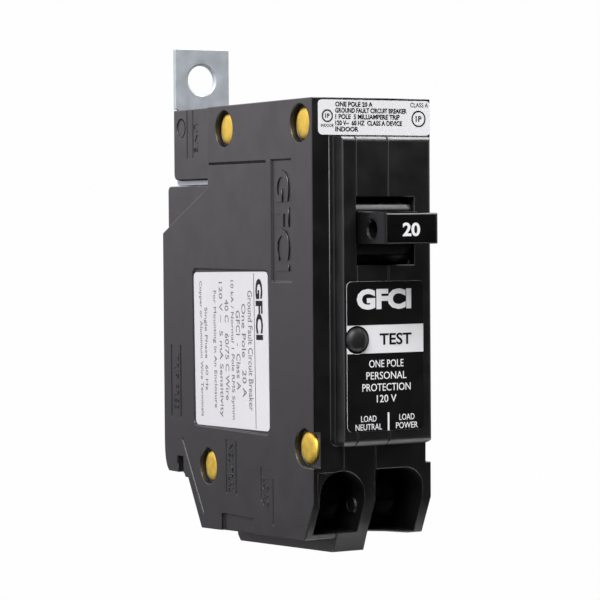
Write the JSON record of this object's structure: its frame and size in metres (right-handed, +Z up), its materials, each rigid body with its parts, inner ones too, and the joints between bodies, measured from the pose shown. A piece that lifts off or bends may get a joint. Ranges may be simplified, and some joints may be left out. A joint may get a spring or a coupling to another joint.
{
  "type": "ground-fault circuit breaker",
  "caption": "Narrow bolt-on ground-fault circuit breaker: riveted moulded shells, rocking handle, push-to-test button, wire-clamp pockets and a flat line tab.",
  "frame": {"origin": "centre of the bolt hole in the line terminal tab, on the tab's rear face, where the panel's bus holds the breaker", "axes": "+X across the pole to the right seen from the handle side, +Y from the handle side to the panel, +Z up towards the line terminal"},
  "size_m": [0.025, 0.0747, 0.096],
  "materials": {
    "black_thermoset": "moulded thermoset, satin, finely textured",
    "handle_plastic": "moulded, semi-gloss, white numerals on the lever",
    "button_plastic": "moulded, semi-gloss",
    "brass_plated": "yellow plated, spun heads",
    "zinc_plated": "zinc plated, stamped",
    "steel": "bright steel",
    "dark_steel": "blackened steel",
    "copper": "bare copper",
    "silver_alloy": "silver contact alloy",
    "spring_steel": "drawn wire",
    "bimetal_strip": "rolled strip",
    "copper_braid": "braided copper",
    "fibre_sheet": "vulcanised fibre",
    "board_laminate": "green solder mask",
    "wound_core": "enamelled winding",
    "component_resin": "moulded epoxy",
    "white_insulation": "extruded insulation",
    "label_film": "printed film"
  },
  "bodies": {
    "case": {"left_housing": "black_thermoset", "middle_housing": "black_thermoset", "right_housing": "black_thermoset", "rivet_1": "brass_plated", "rivet_2": "brass_plated", "rivet_3": "brass_plated", "rivet_4": "brass_plated", "handle_pin": "steel", "line_terminal": "zinc_plated", "line_conductor": "copper", "stationary_contact": "silver_alloy", "contact_arm_pin": "steel", "cradle_pin": "steel", "toggle_spring": "spring_steel", "bimetal": "bimetal_strip", "magnet_yoke": "steel", "armature_spring": "spring_steel", "flexible_braid": "copper_braid", "calibration_screw": "steel", "arc_plate_1": "steel", "arc_plate_2": "steel", "arc_plate_3": "steel", "arc_plate_4": "steel", "arc_chute_liner": "fibre_sheet", "load_terminal": "zinc_plated", "neutral_terminal": "zinc_plated", "circuit_board": "board_laminate", "sensing_transformer": "wound_core", "neutral_transformer": "wound_core", "neutral_wire": "white_insulation", "solenoid_frame": "steel", "solenoid_coil": "copper", "plunger_spring": "spring_steel", "logic_chip": "component_resin", "filter_capacitor": "component_resin", "trip_thyristor": "component_resin", "surge_varistor": "wound_core", "test_spring": "spring_steel", "side_label": "label_film", "top_label": "label_film", "front_label": "label_film"},
    "handle_lever": {"handle": "handle_plastic"},
    "contact_carrier": {"contact_arm": "copper", "moving_contact": "silver_alloy"},
    "trip_lever": {"trip_cradle": "steel"},
    "trip_armature": {"armature": "steel"},
    "trip_plunger": {"solenoid_plunger": "steel"},
    "test_key": {"test_button": "button_plastic"},
    "test_contact": {"test_blade": "copper"},
    "load_plate": {"load_clamp": "dark_steel"},
    "load_screw_shaft": {"load_screw": "dark_steel"},
    "neutral_plate": {"neutral_clamp": "dark_steel"},
    "neutral_screw_shaft": {"neutral_screw": "dark_steel"}
  },
  "joints": [
    {"name": "handle_pivot", "type": "hinge", "parent": "case", "child": "handle_lever", "pos_m": [0.00535, -0.0532, -0.02975], "axis": [1, 0, 0], "range_deg": [-14, 16]},
    {"name": "contact_arm_pivot", "type": "hinge", "parent": "case", "child": "contact_carrier", "pos_m": [0.01015, -0.0406, -0.03115], "axis": [1, 0, 0], "range_deg": [-13.2, 11.6]},
    {"name": "trip_cradle_pivot", "type": "hinge", "parent": "case", "child": "trip_lever", "pos_m": [0.01445, -0.0237, -0.04415], "axis": [1, 0, 0], "range_deg": [-8, 5]},
    {"name": "plunger_slide", "type": "slide", "parent": "case", "child": "trip_plunger", "axis": [0, 1, 0], "range_m": [0, 0.0013], "stiffness_N_per_m": 300, "deforming": ["plunger_spring"]},
    {"name": "armature_pivot", "type": "hinge", "parent": "case", "child": "trip_armature", "pos_m": [0.01085, -0.0408, -0.05265], "axis": [1, 0, 0], "range_deg": [0, 4.6]},
    {"name": "test_button_slide", "type": "slide", "parent": "case", "child": "test_key", "axis": [0, 1, 0], "range_m": [0, 0.0012], "stiffness_N_per_m": 1200, "deforming": ["test_spring"]},
    {"name": "test_blade_pivot", "type": "hinge", "parent": "case", "child": "test_contact", "pos_m": [-0.00105, -0.0489, -0.06465], "axis": [-1, 0, 0], "range_deg": [0, 3.8]},
    {"name": "load_clamp_slide", "type": "slide", "parent": "case", "child": "load_plate", "axis": [0, 1, 0], "range_m": [0, 0.002]},
    {"name": "load_screw_turn", "type": "hinge", "parent": "load_plate", "child": "load_screw_shaft", "pos_m": [0.01095, -0.049, -0.07945], "axis": [0, 1, 0], "range_deg": [0, 900]},
    {"name": "neutral_clamp_slide", "type": "slide", "parent": "case", "child": "neutral_plate", "axis": [0, 1, 0], "range_m": [0, 0.002]},
    {"name": "neutral_screw_turn", "type": "hinge", "parent": "neutral_plate", "child": "neutral_screw_shaft", "pos_m": [-0.0011, -0.049, -0.07945], "axis": [0, 1, 0], "range_deg": [0, 900]}
  ],
  "couplings": [
    {"joint": "contact_arm_pivot", "follows": "handle_pivot", "ratio": -0.807},
    {"joint": "armature_pivot", "follows": "plunger_slide", "rad_per_m": 60.4},
    {"joint": "test_blade_pivot", "follows": "test_button_slide", "rad_per_m": 54},
    {"joint": "load_screw_turn", "follows": "load_clamp_slide", "rad_per_m": 7850},
    {"joint": "neutral_screw_turn", "follows": "neutral_clamp_slide", "rad_per_m": 7850}
  ]
}
